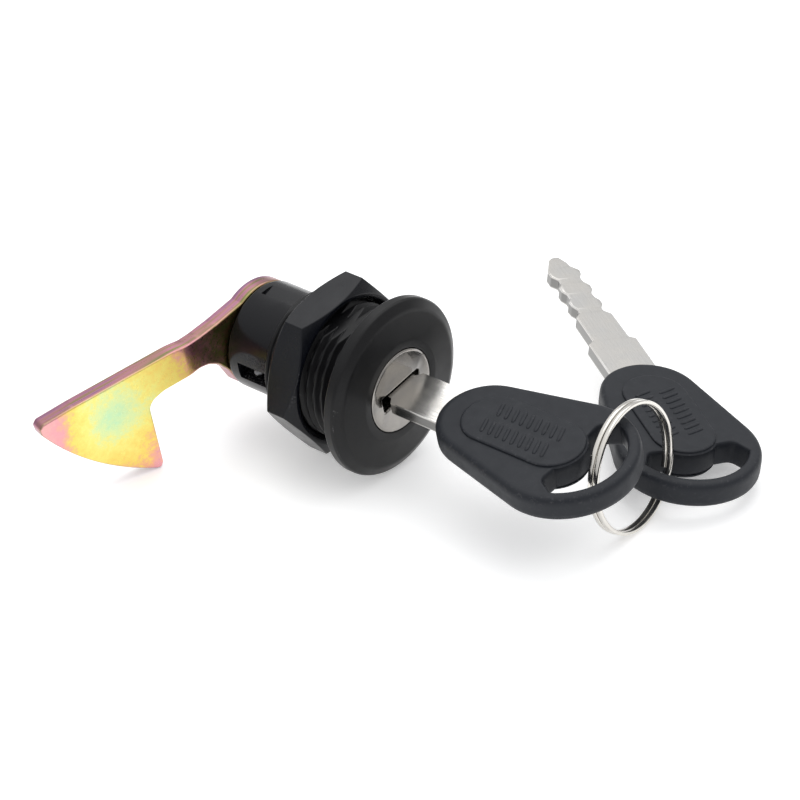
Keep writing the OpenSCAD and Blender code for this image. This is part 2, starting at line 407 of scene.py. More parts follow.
def enamel(name, color, roughness, wear_and_glint_level, peel, shine):
    """A black coat: its edges are painted lighter by the given level, partly as wear and partly as a
    painted highlight; peel is how deep the orange peel is.
    """
    mat, tree, bsdf, where = finish(name, color, 0.0, roughness, shine=shine)
    cloud = noise(tree, where, 0.35)
    grain = noise(tree, where, 7.0, 4.0)
    fleck = noise(tree, where, 2.6, 6.0, rough=0.75)
    tree.links.new(spread(tree, cloud, roughness - 0.05, roughness + 0.06), bsdf.inputs["Roughness"])
    edge = node(tree, "ShaderNodeNewGeometry").outputs["Pointiness"]
    # edges painted a lighter grey: partly wear, partly a painted highlight of the glints they catch
    wear_and_glint = calc(tree, "MULTIPLY", spread(tree, edge, 0.0, 1.0, 0.535, 0.62),
                spread(tree, fleck, 0.0, 1.0, 0.5, 0.68))
    wear_and_glint = calc(tree, "MULTIPLY", wear_and_glint, wear_and_glint_level)
    dull = mix(tree, spread(tree, fleck, 0.0, 1.0, 0.35, 0.75), color, tuple(c * 1.7 for c in color))
    tree.links.new(mix(tree, wear_and_glint, dull, WEAR_AND_GLINT_GREY), bsdf.inputs["Base Color"])
    bump(tree, bsdf, grain, peel, 0.02)
    return mat


black_enamel = enamel("black_lacquer", (0.004, 0.004, 0.0045), 0.34, wear_and_glint_level=0.35, peel=0.16, shine=0.24)
nut_enamel = enamel("nut_black", (0.0028, 0.0033, 0.0052), 0.22, wear_and_glint_level=0.12, peel=0.10, shine=0.24)
barrel_enamel = enamel("barrel_black", (0.003, 0.0032, 0.0045), 0.19, wear_and_glint_level=0.2, peel=0.08, shine=0.26)

# %% [markdown]
# ## Nickel and steel
# The plug's cap and the blades are pressed from nickel-plated sheet. The blades keep fine lengthways
# polishing marks, their sides are painted darker than their faces as a painted shade, and the cap has
# a slightly pebbled surface from tumbling. The ring is polished wire. One finish with a few settings
# covers them all.

# %% Nickel finishes
WARM_STAIN = (0.62, 0.56, 0.48)
LENGTHWAYS, EVERY_WAY = (0.06, 1.6, 1), (1, 1, 1)


def nickel(name, color, roughness, streak, own=True, pebble=0.08, stretch=LENGTHWAYS, side=None):
    """A plated metal: streak darkens its polishing marks, and side darkens the plate's sides, away from
    both faces, as a painted shade.
    """
    mat, tree, bsdf, where = finish(name, color, 1.0, roughness, own)
    lines = noise(tree, where, 3.0, 5.0, stretch=stretch, rough=0.65)
    stain = noise(tree, where, 0.28, 2.0)
    pits = noise(tree, where, 5.5, 5.0, rough=0.7)
    tone = mix(tree, spread(tree, lines, 0.0, streak), color, tuple(c * 0.55 for c in color))
    tone = mix(tree, spread(tree, stain, 0.0, 0.25), tone, WARM_STAIN)
    # painted shade: the plate's sides, away from both faces, are painted darker
    if side:
        height = calc(tree, "ABSOLUTE", node(tree, "ShaderNodeSeparateXYZ", {0: where}).outputs[2])
        tone = mix(tree, between(tree, height, 0.72, 0.95), tone, tuple(c * side for c in color))
    tree.links.new(tone, bsdf.inputs["Base Color"])
    tree.links.new(calc(tree, "ADD", spread(tree, lines, roughness - 0.05, roughness + 0.07),
                        spread(tree, stain, -0.02, 0.04)), bsdf.inputs["Roughness"])
    bump(tree, bsdf, calc(tree, "ADD", lines, calc(tree, "MULTIPLY", pits, 0.8)), pebble, 0.02)
    return mat


key_nickel = nickel("key_nickel", (0.70, 0.69, 0.67), 0.18, 0.40, pebble=0.08, side=0.32)
# the cap's nickel is painted much darker than the blades': a painted shade for the dark reflections on
# it
shaded_cap_nickel = nickel("nickel_satin", (0.31, 0.30, 0.29), 0.17, 0.3, pebble=0.18, stretch=EVERY_WAY)
plug_nickel = nickel("nickel", (0.40, 0.39, 0.37), 0.35, 0.5, own=False, stretch=EVERY_WAY)
ring_nickel = nickel("ring_nickel", (0.76, 0.74, 0.70), 0.13, 0.2, own=False, pebble=0.05,
                     stretch=EVERY_WAY)
steel = nickel("steel", (0.58, 0.58, 0.58), 0.36, 0.5, own=False, stretch=EVERY_WAY)
pin_steel_painted_shade = nickel("pin_steel_painted_shade", (0.16, 0.16, 0.17), 0.4, 0.5, own=False, stretch=EVERY_WAY)
wafer_brass = nickel("wafer_brass", (0.72, 0.55, 0.27), 0.32, 0.4, own=False, stretch=EVERY_WAY)

# %% [markdown]
# ## Yellow passivated zinc
# The hook is steel with zinc plate and a yellow chromate film. The film is so thin that its thickness
# shows as colour: mint green, yellow, orange and pink in slow bands, thickest where the bath drained
# last. The bands lie round a mint patch on the broad part, and follow the plate's own flat coordinates,
# so the colours stay with the metal. From the round end up to the bend the colour is painted olive and
# brown, a painted shade for the dark reflection on this part, which is not bent towards the light.

# %% Rainbow chromate
MINT, LIME = (0.52, 0.76, 0.46), (0.70, 0.78, 0.36)
YELLOW, AMBER = (0.86, 0.77, 0.22), (0.88, 0.66, 0.16)
ORANGE, PINK, PALE_PINK = (0.86, 0.46, 0.26), (0.80, 0.36, 0.40), (0.80, 0.40, 0.40)
SHADE_OLIVE, SHADE_BROWN = (0.34, 0.32, 0.10), (0.50, 0.30, 0.16)
EDGE_OLIVE, EDGE_ROSE = (0.20, 0.20, 0.08), (0.38, 0.20, 0.18)
EDGE_PINK, EDGE_VIOLET = (0.42, 0.19, 0.25), (0.27, 0.15, 0.24)
PATCH_X, PATCH_Y = 31.0, 3.6


def chromate():
    mat, tree, bsdf, where = finish("yellow_zinc", (0.85, 0.7, 0.25), 1.0, 0.3, own=True)
    x, y, z = node(tree, "ShaderNodeSeparateXYZ", {0: where}).outputs
    drift = noise(tree, where, 0.13, 2.0)
    mottle = noise(tree, where, 0.8, 5.0, rough=0.7)
    # slow bands, by the distance from the mint patch
    out = calc(tree, "SUBTRACT", x, PATCH_X)
    out = calc(tree, "MAXIMUM", calc(tree, "MULTIPLY", out, 0.085), calc(tree, "MULTIPLY", out, -0.05))
    up = calc(tree, "MULTIPLY", calc(tree, "SUBTRACT", y, PATCH_Y), 0.066)
    far = calc(tree, "SQRT", calc(tree, "ADD", calc(tree, "MULTIPLY", out, out),
                                  calc(tree, "MULTIPLY", up, up)))
    band = calc(tree, "ADD", far, spread(tree, drift, -0.10, 0.12))
    band = calc(tree, "ADD", band, spread(tree, mottle, -0.11, 0.13))
    face = ramp(tree, band, [(0.0, MINT), (0.24, LIME), (0.40, YELLOW), (0.62, AMBER), (0.74, ORANGE),
                             (0.87, PINK), (1.0, PALE_PINK)])
    # painted shade: olive and brown from the round end up to the bend, for the dark reflection there
    painted_shade_to_bend = between(tree, calc(tree, "ADD", x, spread(tree, mottle, -3.0, 3.0)), 9.0, 15.5)
    face = mix(tree, painted_shade_to_bend, face, ramp(tree, mottle, [(0.4, SHADE_OLIVE), (0.6, SHADE_BROWN)]))
    # the sheared edge is streaked along its length, in olive, rose and violet
    streak = noise(tree, where, 1.3, 3.0, stretch=(0.05, 0.05, 1.2), rough=0.6)
    edge = ramp(tree, streak, [(0.34, EDGE_OLIVE), (0.46, EDGE_ROSE), (0.56, EDGE_PINK),
                               (0.68, EDGE_VIOLET)])
    inner = between(tree, calc(tree, "ABSOLUTE", z), 1.05, 1.28)
    tree.links.new(mix(tree, inner, face, edge), bsdf.inputs["Base Color"])
    scratch = noise(tree, where, 2.2, 6.0, rough=0.8)
    tree.links.new(spread(tree, scratch, 0.24, 0.38), bsdf.inputs["Roughness"])
    bump(tree, bsdf, calc(tree, "ADD", mottle, scratch), 0.10, 0.03)
    return mat


yellow_zinc = chromate()

# %% [markdown]
# ## Moulded key heads
# The heads are moulded in black plastic with a fine spark-eroded texture. Their rims are painted a
# lighter grey, partly as scuffs where fingers and pockets rub them and partly as a painted highlight
# along the rim.

# %% Black plastic
PLASTIC, PLASTIC_DARK, SCUFF_AND_SHEEN_GREY = (0.014, 0.016, 0.020), (0.010, 0.012, 0.017), (0.10, 0.10, 0.105)


def moulded():
    mat, tree, bsdf, where = finish("key_plastic", PLASTIC, 0.0, 0.5, own=True, shine=0.28)
    spark = noise(tree, where, 6.0, 5.0, rough=0.7)
    patch = noise(tree, where, 0.5, 3.0)
    edge = node(tree, "ShaderNodeNewGeometry").outputs["Pointiness"]
    # rims painted lighter: partly scuffs, partly a painted highlight along the edges
    scuff_and_sheen = calc(tree, "MULTIPLY", spread(tree, edge, 0.0, 1.0, 0.505, 0.56),
               spread(tree, noise(tree, where, 1.4, 6.0, rough=0.8), 0.0, 1.0, 0.55, 0.72))
    fresh = mix(tree, spread(tree, patch, 0.0, 0.6), PLASTIC_DARK, PLASTIC)
    tree.links.new(mix(tree, scuff_and_sheen, fresh, SCUFF_AND_SHEEN_GREY), bsdf.inputs["Base Color"])
    tree.links.new(spread(tree, patch, 0.44, 0.56), bsdf.inputs["Roughness"])
    bump(tree, bsdf, spark, 0.25, 0.03)
    return mat


key_plastic = moulded()

# %% [markdown]
# ## Flange
# The flange is the only part of the barrel that is seen with the door shut. Its face is a very flat
# cone, so that a key slips off it into the slot, and its corners are softly rounded. It is turned, so
# the lathe helper makes it, with the plug's recess and the relief behind it in the same profile.

# %% Flange
FLANGE_R, RECESS_R, BORE_R = 14.57, 6.98, 6.48
RELIEF_R, RELIEF_ROOT, THREAD_START = 11.15, 10.2, 0.2
flange = lathe("flange", [
    (RECESS_R, -3.2, 0.12), (8.3, -3.2, 2.0), (12.97, -2.65, 2.0), (14.36, -1.85, 0.5),
    (FLANGE_R, -1.45, 0.4), (FLANGE_R, 0.0, 0.3), (RELIEF_R, 0.0, 0.05), (RELIEF_R, -0.25, 0),
    (RELIEF_ROOT, -0.25, 0), (RELIEF_ROOT, THREAD_START, 0), (BORE_R, THREAD_START, 0),
    (BORE_R, -1.0, 0.05), (RECESS_R, -1.0, 0.05)], 192)

# %% [markdown]
# ## Thread
# The barrel has a M22 thread with two flats milled away, which stop it turning in the panel. A thread
# follows a rule, so Geometry Nodes make it: a grid is wrapped round the axis, its radius follows the
# helix, and the flats simply limit the radius to the distance of a plane. The first and last rows of
# the grid fold inwards to make the bore, with two grooves that the wafers spring out into.

# %% Thread tree
def thread_tree(inputs):
    tree, given = open_tree("thread sleeve", inputs)
    rows, columns, taper = 200, 288, 0.8 * MM
    grid = node(tree, "GeometryNodeMeshGrid", {"Size X": 2 * pi, "Size Y": rows + 3.0,
                                               "Vertices X": columns + 1, "Vertices Y": rows + 4})
    at = node(tree, "ShaderNodeSeparateXYZ", {0: node(tree, "GeometryNodeInputPosition").outputs[0]})
    turn = at.outputs[0]
    row = calc(tree, "ADD", at.outputs[1], (rows + 3) / 2)
    along = calc(tree, "DIVIDE", calc(tree, "SUBTRACT", row, 1.0), float(rows), clamp=True)
    along = calc(tree, "MULTIPLY", along, calc(tree, "LESS_THAN", row, rows + 2.5))
    run = calc(tree, "MULTIPLY", along, given["Length"])
    in_bore = calc(tree, "MAXIMUM", calc(tree, "LESS_THAN", row, 0.5),
                   calc(tree, "GREATER_THAN", row, rows + 1.5))
    phase = calc(tree, "FRACT", calc(tree, "SUBTRACT", calc(tree, "DIVIDE", run, given["Pitch"]),
                                     calc(tree, "DIVIDE", turn, 2 * pi)))
    ridge = calc(tree, "SUBTRACT", 1.0, calc(tree, "ABSOLUTE", calc(
        tree, "SUBTRACT", calc(tree, "MULTIPLY", phase, 2.0), 1.0)))
    ridge = calc(tree, "SUBTRACT", calc(tree, "MULTIPLY", ridge, 1.35), 0.12, clamp=True)
    lead_in = calc(tree, "DIVIDE", run, taper, clamp=True)
    run_out = calc(tree, "DIVIDE", calc(tree, "SUBTRACT", given["Length"], run), taper, clamp=True)
    ridge = calc(tree, "MULTIPLY", ridge, calc(tree, "MULTIPLY", lead_in, run_out))
    depth = calc(tree, "MULTIPLY", given["Depth"], calc(tree, "SUBTRACT", 1.0, ridge))
    radius = calc(tree, "SUBTRACT", given["Crest radius"], depth)
    plane = calc(tree, "MAXIMUM", calc(tree, "ABSOLUTE", calc(
        tree, "COSINE", calc(tree, "SUBTRACT", turn, given["Flat turn"]))), 0.05)
    radius = calc(tree, "MINIMUM", radius, calc(tree, "DIVIDE", given["Flat distance"], plane))
    beside = calc(tree, "ABSOLUTE", calc(tree, "MULTIPLY", given["Bore radius"], calc(
        tree, "SINE", calc(tree, "SUBTRACT", turn, given["Groove turn"]))))
    bore = node(tree, "ShaderNodeMix", {0: calc(tree, "LESS_THAN", beside, given["Groove half width"]),
                                        2: given["Bore radius"], 3: given["Groove radius"]}).outputs[0]
    radius = calc(tree, "ADD", calc(tree, "MULTIPLY", radius, calc(tree, "SUBTRACT", 1.0, in_bore)),
                  calc(tree, "MULTIPLY", bore, in_bore))
    point = node(tree, "ShaderNodeCombineXYZ", {
        0: calc(tree, "MULTIPLY", radius, calc(tree, "SINE", turn)),
        1: calc(tree, "ADD", run, given["Start"]),
        2: calc(tree, "MULTIPLY", radius, calc(tree, "COSINE", turn))}).outputs[0]
    wrapped = node(tree, "GeometryNodeSetPosition", {"Geometry": grid.outputs["Mesh"],
                                                     "Position": point}).outputs[0]
    joined = node(tree, "GeometryNodeMergeByDistance",
                  {"Geometry": wrapped, "Distance": WELD}).outputs[0]
    return close_tree(tree, joined, given["Material"])


def grow(name, build_tree, inputs, sharp=30):
    """Runs a Geometry Nodes tree on an empty mesh and keeps the result as a plain mesh."""
    tree = build_tree(inputs)
    ob = bpy.data.objects.new(name, bpy.data.meshes.new(name))
    bpy.context.scene.collection.objects.link(ob)
    modifier = ob.modifiers.new(name, "NODES")
    modifier.node_group = tree
    for item in tree.interface.items_tree:
        if item.in_out == "INPUT":
            modifier[item.identifier] = inputs[item.name]
    settle(ob, sharp)
    print(name, len(ob.data.polygons), "faces from", tree.name)
    return ob


THREAD_END = 15.9
thread = grow("thread", thread_tree, {
    "Start": THREAD_START * MM, "Length": (THREAD_END - THREAD_START) * MM, "Pitch": 1.5 * MM,
    "Depth": 0.75 * MM, "Crest radius": 11 * MM, "Bore radius": BORE_R * MM, "Groove radius": 8.1 * MM,
    "Groove half width": 2.8 * MM, "Groove turn": radians(79), "Flat distance": 10.2 * MM,
    "Flat turn": radians(-13), "Material": black_enamel}, sharp=35)

# %% [markdown]
# ## Rear barrel
# Behind the thread the barrel is plain and glossier. It has a long shallow step on top from the mould,
# and a window in the side where the stop pin was driven in. The turned shape is cut with two blocks.

# %% Rear barrel
def block(name, low, high, turn):
    """A box between two corners, in millimetres, turned about the lock axis."""
    bm = bmesh.new()
    bmesh.ops.create_cube(bm, size=1)
    middle = (Vector(low) + Vector(high)) / 2 * MM
    size = (Vector(high) - Vector(low)) * MM
    bm.transform(Matrix.Rotation(turn, 4, "Y") @ Matrix.Translation(middle)
                 @ Matrix.Diagonal((*size, 1)))
    return as_object(name, bm)


def cut(ob, *cutters):
    """Takes the cutters' shapes out of the piece, and removes the cutters."""
    ob.modifiers.clear()
    for cutter in cutters:
        modifier = ob.modifiers.new("cut", "BOOLEAN")
        modifier.object = cutter
        modifier.solver = "EXACT"
        settle(ob)
        bpy.data.objects.remove(cutter)


REAR_R, REAR_START, BARREL_END = 8.86, THREAD_END - 0.1, 25.2
rear_barrel = lathe("rear_barrel", [
    (BORE_R, REAR_START, 0), (REAR_R, REAR_START, 0), (REAR_R, BARREL_END, 0.55),
    (BORE_R, BARREL_END, 0.15)], 176)
cut(rear_barrel,
    block("window", (-1.55, 17, 5), (1.55, 23, 11), radians(-103)),
    block("step", (0, 16.1, REAR_R - 0.45), (3.2, 23.7, REAR_R + 2), radians(-12)))
soften(rear_barrel, 0.12, 40)
for piece in (flange, thread, rear_barrel):
    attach(piece, "housing")
    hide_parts("housing")

# %% [markdown]
# ## Hexagon nut
# A nut is a hexagon prism turned to a cone at both ends, so each flat ends in a curve. Those curves are
# exact if the mesh has a column of points for each direction, placed where the cone meets the flat.

# %% Nut and bolt head
def hexagon(name, corner_r, y0, y1, corner_turn, bore, lead, tilt=30, per_side=14):
    """A chamfered hexagon piece from y0 to y1. lead is the chamfer of its bore, and bore 0 is solid."""
    flat_r = corner_r * cos(pi / 6)
    face_r = flat_r - 0.25

    def profile(turn):
        within = (turn - corner_turn) % (pi / 3) - pi / 6
        reach = flat_r / cos(within)
        dip = (reach - face_r) * tan(radians(tilt))
        return [(bore + lead, y0), (face_r, y0), (reach, y0 + dip), (reach, y1 - dip), (face_r, y1),
                (bore + lead, y1), (bore, y1 - lead), (bore, y0 + lead)]

    count = per_side * 6
    ob = revolve(name, lambda turn: profile(turn + corner_turn), count)
    ob.data.transform(Matrix.Rotation(corner_turn, 4, "Y"))
    return ob


NUT_CORNER_R, NUT_FRONT, NUT_BACK, NUT_BORE_R = 14.6, 7.15, 13.15, 11.06
nut = hexagon("nut", NUT_CORNER_R, NUT_FRONT, NUT_BACK, radians(20), NUT_BORE_R, 0.9)
soften(nut, 0.22, 25)
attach(nut, "nut")
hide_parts("hex_nut")

# %% [markdown]
# ## Plug face
# The bright disc in the middle is a thin pressed cap over the plug. Its keyway leans 11 degrees from
# the hook's line. It is a plate with a rectangular hole, and its rolled edge catches a bright ring.

# %% Plug face
KEY_ROLL = radians(-11)
rolled = Matrix.Rotation(KEY_ROLL, 4, "Y")
facing = Matrix.Rotation(radians(90), 4, "X")
LONG, WIDE = 4.3, 1.25
slot_hole = rounded([(x * LONG, y * WIDE, 0.2) for x, y in ((-1, -1), (1, -1), (1, 1), (-1, 1))])
plug_face = plate("plug_face", arc(0, 0, 6.9, 0, 357.5, 144),
                  [(0, 2.0), (0, 2.98), (0.08, 3.2), (0.26, 3.34), (0.5, 3.4)],
                  rolled @ facing, [slot_hole])
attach(plug_face, "plug")
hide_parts("face_cap")

# %% [markdown]
# ## Hook
# The hook is stamped from 2.6 mm plate: a round end that sits on the plug's square, a straight arm, and
# a broad tooth whose inside edge catches the strike. It points along the keyway's line, and the arm is
# bent back by 15 degrees just outside the barrel. The flat blank is made first and cut into thin slices
# where it bends. Then each point is rolled round the bend, with lengths kept on the front face.

# %% Hook
CAM_Y, CAM_T = BARREL_END + 0.2, 2.6
BEND_START, BEND_R, BEND = 15.2, 7.4, radians(15)
belly = arc(3.55, 29.03, 45.13, -60.6, -29, 30)
arm = rounded([(7.3, -4.74, 0), (8.6, -1.6, 4), (10.4, 1.0, 4), (12.4, 2.5, 5), (14.6, 3.2, 4),
               (21.6, 3.1, 4), (24.5, 2.2, 2.6), (24.5, -9.6, 0), (24.95, -10.45, 0.7)]
              + [(*p, 0) for p in belly]
              + [(43.15, 8.3, 0.6), (42.5, 9.0, 0.8), (37, 9.2, 20), (18.5, 9.2, 20), (13, 8.45, 12),
                 (9, 8.2, 12), (2.98, 8.18, 0)], 6)
outline = arm + arc(0, 0, 8.7, 70, 327, 60)
SQUARE = 3.55
square = [(SQUARE, SQUARE), (-SQUARE, SQUARE), (-SQUARE, -SQUARE), (SQUARE, -SQUARE)]


def roll_back(point):
    """Where a point of the flat blank goes when the arm is bent."""
    along = point.x - BEND_START
    if along <= 0:
        return point
    turned = min(along / BEND_R, BEND)
    beyond = max(along - BEND_R * BEND, 0)
    radius = BEND_R - CAM_T / 2 + point.z
    return Vector((BEND_START + radius * sin(turned) + beyond * cos(turned), point.y,
                   radius * cos(turned) - BEND_R + CAM_T / 2 - beyond * sin(turned)))


outwards = Matrix(((-1, 0, 0, 0), (0, 0, -1, 0), (0, 1, 0, 0), (0, 0, 0, 1)))
hook_place = Matrix.Translation((0, (CAM_Y + CAM_T / 2) * MM, 0)) @ rolled @ outwards
hook = plate("hook", outline, rim(CAM_T, 0.34), hook_place, [square], roll_back,
             [BEND_START + 0.2 * k for k in range(9)])
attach(hook, "plug")
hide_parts("cam")

# %% [markdown]
# ## Back of the hook
# A hexagon bolt holds the hook on the plug's square, over a toothed washer. The teeth are twisted so
# that they bite, which is one small lift on each side of every tooth.

# %% Bolt and washer
TEETH, ROOT_R, TIP_R, TOOTH_LIFT = 16, 4.5, 5.55, 0.18
toothed = [(r * cos(2 * pi * (k + part) / TEETH), r * sin(2 * pi * (k + part) / TEETH))
           for k in range(TEETH)
           for part, r in ((0.0, ROOT_R), (0.12, TIP_R), (0.6, TIP_R), (0.72, ROOT_R))]


def twist(point):
    """Lifts one side of each tooth and lowers the other."""
    if point.xy.length < 5:
        return point
    part = (atan2(point.y, point.x) / (2 * pi) * TEETH) % 1
    return point + Vector((0, 0, TOOTH_LIFT if part < 0.36 else -TOOTH_LIFT))


back_y = CAM_Y + CAM_T
washer = plate("toothed_washer", toothed, rim(0.42, 0.08, 2),
               Matrix.Translation((0, (back_y + 0.4) * MM, 0)) @ Matrix.Rotation(radians(-90), 4, "X"),
               [arc(0, 0, 2.65, 0, 350, 36)], twist)
bolt_head = hexagon("bolt_head", 4.62, back_y + 0.8, back_y + 4.0, radians(30), 0.0, 0.0)
soften(bolt_head, 0.12, 25)
SHANK_R, SHANK_FRONT = 2.45, 22.8
bolt_shank = lathe("bolt_shank", [(0, SHANK_FRONT, 0), (SHANK_R, SHANK_FRONT, 0.3),
                                  (SHANK_R, back_y + 0.9, 0), (0, back_y + 0.9, 0)], 48)
for piece, cad in ((washer, "lock_washer"), (bolt_head, "cam_bolt"), (bolt_shank, "cam_bolt")):
    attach(piece, "plug")
    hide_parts(cad)

# %% [markdown]
# ## Keys
# Each key is a nickel-plated blade moulded into a pear-shaped plastic head. The blade has shallow
# cuts on both edges, a plain middle and a wide root. The head has a kidney slot for the ring, and a
# raised pad on both faces with two rows of short, plain grip bars. The bars repeat, so Geometry Nodes
# place them, and the rest is cut from outlines with the plate helper.

# %% Key outlines
BLADE = [(-6, -4.1, 0), (-16.2, -4.1, 0.3), (-16.9, -3.1, 0.3), (-24.2, -3.1, 0.3), (-25.2, -2.2, 0.4),
         (-26.3, -2.1, 0.4), (-27.4, -2.6, 0.4), (-28.7, -2.7, 0.4), (-29.6, -2.1, 0.4),
         (-30.9, -2.1, 0.4), (-32, -2.6, 0.4), (-33.2, -2.6, 0.4), (-34.2, -1.9, 0.4),
         (-35.5, -1.9, 0.4), (-36.6, -2.7, 0.4), (-38.2, -2.7, 0.4), (-41.4, -1.3, 0.5),
         (-42, -0.6, 0.4), (-42, 0.6, 0.4), (-40.2, 1.4, 0.5), (-39, 1.6, 0.4), (-37.6, 2.7, 0.4),
         (-36.4, 2.5, 0.4), (-35.4, 1.9, 0.4), (-34, 2, 0.4), (-32.8, 2.7, 0.4), (-31.6, 2.6, 0.4),
         (-30.6, 2, 0.4), (-29.2, 2.1, 0.4), (-28.2, 2.6, 0.4), (-27, 2.6, 0.4), (-26, 1.9, 0.4),
         (-25, 2, 0.4), (-23.9, 2.95, 0.3), (-16.9, 3.1, 0.3), (-16.2, 4.1, 0.3), (-6, 4.1, 0)]
HEAD_R1, HEAD_R2, HEAD_D = 8.1, 11.5, 15.0
# the lean of the two straight sides, which touch both round ends
lean = atan2(HEAD_R2 - HEAD_R1, (HEAD_D ** 2 - (HEAD_R2 - HEAD_R1) ** 2) ** 0.5) * 180 / pi
head_outline = (arc(HEAD_D, 0, HEAD_R2, -90 - lean, 90 + lean, 72)
                + arc(0, 0, HEAD_R1, 90 + lean, 270 - lean, 48))
ring_slot = rounded([(16.0, 7.0, 1.2), *[(*p, 0) for p in arc(HEAD_D, 0, 9.3, 66, -66, 40)],
                     (16.0, -7.0, 1.2), *[(*p, 0) for p in arc(12.4, 0, 5.6, -48, 48, 24)]], 5)
pad_outline = arc(12.6, 0, 5.2, -90, 90, 36) + arc(1.3, 0, 5.2, 90, 270, 36)

# %% Grip bars on the pads
def bars_tree(inputs):
    tree, given = open_tree("grip bars", inputs)
    spots = node(tree, "GeometryNodeMeshGrid", {
        "Size X": given["Field length"], "Size Y": given["Row spacing"],
        "Vertices X": given["Bars in a row"], "Vertices Y": 2})
    bar = node(tree, "GeometryNodeMeshCube", {"Size": node(tree, "ShaderNodeCombineXYZ", {
        0: given["Bar width"], 1: given["Bar length"], 2: given["Bar height"]}).outputs[0],
        "Vertices X": 2, "Vertices Y": 4, "Vertices Z": 2}).outputs["Mesh"]
    bar = node(tree, "GeometryNodeSubdivisionSurface", {"Mesh": bar, "Level": 2}).outputs[0]
    placed = node(tree, "GeometryNodeInstanceOnPoints", {
        "Points": spots.outputs["Mesh"], "Instance": bar, "Rotation": (0, 0, radians(18))}).outputs[0]
    pad_spot = node(tree, "ShaderNodeCombineXYZ",
                    {0: given["Centre"], 2: given["Pad height"]}).outputs[0]
    over = node(tree, "GeometryNodeTransform", {"Geometry": placed, "Translation": pad_spot}).outputs[0]
    under = node(tree, "GeometryNodeTransform", {"Geometry": over, "Rotation": (pi, 0, 0)}).outputs[0]
    both = node(tree, "GeometryNodeJoinGeometry")
    tree.links.new(over, both.inputs[0])
    tree.links.new(under, both.inputs[0])
    return close_tree(tree, both.outputs[0], given["Material"])


def keep_flat(ob, place):
    """Stores a grown piece's flat coordinates, then moves it to its place."""
    own = ob.data.attributes.new("flat", "FLOAT_VECTOR", "POINT")
    for spot, vert in zip(own.data, ob.data.vertices):
        spot.vector = vert.co / MM
    ob.data.transform(place)


# %% Both keys
# the key in the lock follows the keyway, and the loose key lies beside it
KEY_1 = Matrix.Translation(Vector((0, -20.8, 0)) * MM) @ rolled @ Matrix.Rotation(radians(-90), 4, "Z")
KEY_2 = (Matrix.Translation(Vector((32.2, -27, -8.7)) * MM) @ Matrix.Rotation(radians(-120.4), 4, "Z")
         @ Matrix.Rotation(radians(4), 4, "Y") @ Matrix.Rotation(radians(-5), 4, "X"))
BLADE_T = 2.2
head_edge = [(1.3, 2.12), (0.86, 2.08), (0.5, 1.95), (0.22, 1.7), (0.05, 1.3), (0, 0.8)]
head_layers = [(inset, -height) for inset, height in head_edge] + head_edge[::-1]
pad_layers = [(-0.25, 1.9), (0, 2.1), (0.05, 2.35), (0.18, 2.46), (0.4, 2.5)]
for number, place in ((1, KEY_1), (2, KEY_2)):
    body = f"key_{number}"
    blade = plate(f"{body}_metal", rounded(BLADE, 3), rim(BLADE_T, 0.14, 3), place)
    head = plate(f"{body}_grip", head_outline, head_layers, place, [ring_slot], hole_edge=0.4)
    upper = plate(f"{body}_pad_top", pad_outline, pad_layers, place)
    lower = plate(f"{body}_pad_under", pad_outline,
                  [(inset, -height) for inset, height in pad_layers], place)
    bars = grow(f"{body}_grip_bars", bars_tree, {
        "Field length": 11.6 * MM, "Row spacing": 4.1 * MM, "Bars in a row": 9, "Bar width": 0.7 * MM,
        "Bar length": 3.3 * MM, "Bar height": 0.4 * MM, "Centre": 6.9 * MM, "Pad height": 2.5 * MM,
        "Material": key_plastic})
    keep_flat(bars, place)
    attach(blade, body)
    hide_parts(f"{body}_blade")
    for piece in (head, upper, lower, bars):
        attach(piece, body)
        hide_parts(f"{body}_head")
        piece.data.materials.clear()
        piece.data.materials.append(key_plastic)
    blade.data.materials.append(key_nickel)

# %% [markdown]
# ## Split ring
# A split ring is a flat coil of spring wire, two turns that lie side by side. The wire steps across
# once, where both its ends are, so a key can be threaded on. The path follows a rule, so Geometry
# Nodes sweep a rounded wire section along it.

